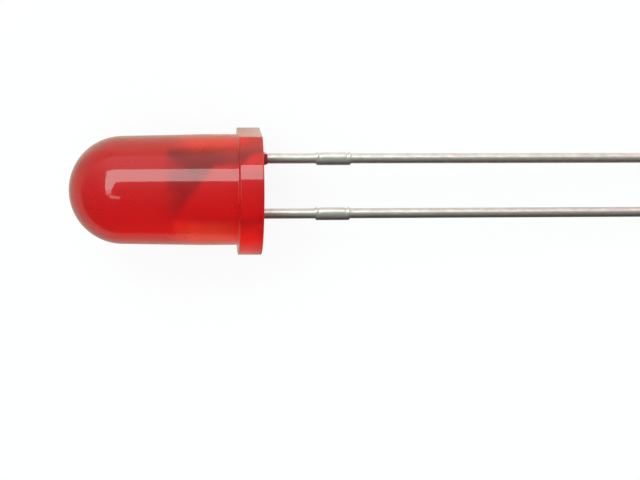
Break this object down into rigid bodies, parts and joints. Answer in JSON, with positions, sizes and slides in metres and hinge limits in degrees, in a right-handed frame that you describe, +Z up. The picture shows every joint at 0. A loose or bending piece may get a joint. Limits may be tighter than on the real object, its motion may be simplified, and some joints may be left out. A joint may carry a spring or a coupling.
{
  "type": "through-hole LED",
  "caption": "Red 5 mm round through-hole light-emitting diode with a flanged, flat-keyed epoxy lens and two square tinned leads, lying loose.",
  "frame": {"origin": "on the surface that the LED lies on, at the centre of the box round the whole LED", "axes": "+X from the dome towards the ends of the leads, +Y from the anode towards the cathode and the flange's flat, +Z up from the surface"},
  "size_m": [0.037, 0.0056, 0.006],
  "materials": {
    "lens_epoxy": "gloss",
    "tinned_lead": "satin",
    "die": "satin",
    "silver_epoxy": "matte",
    "gold_wire": "polished"
  },
  "bodies": {
    "root": {"lens": "lens_epoxy", "cathode_lead": "tinned_lead", "anode_lead": "tinned_lead", "die": "die", "die_attach": "silver_epoxy", "bond_wire": "gold_wire"}
  },
  "joints": []
}
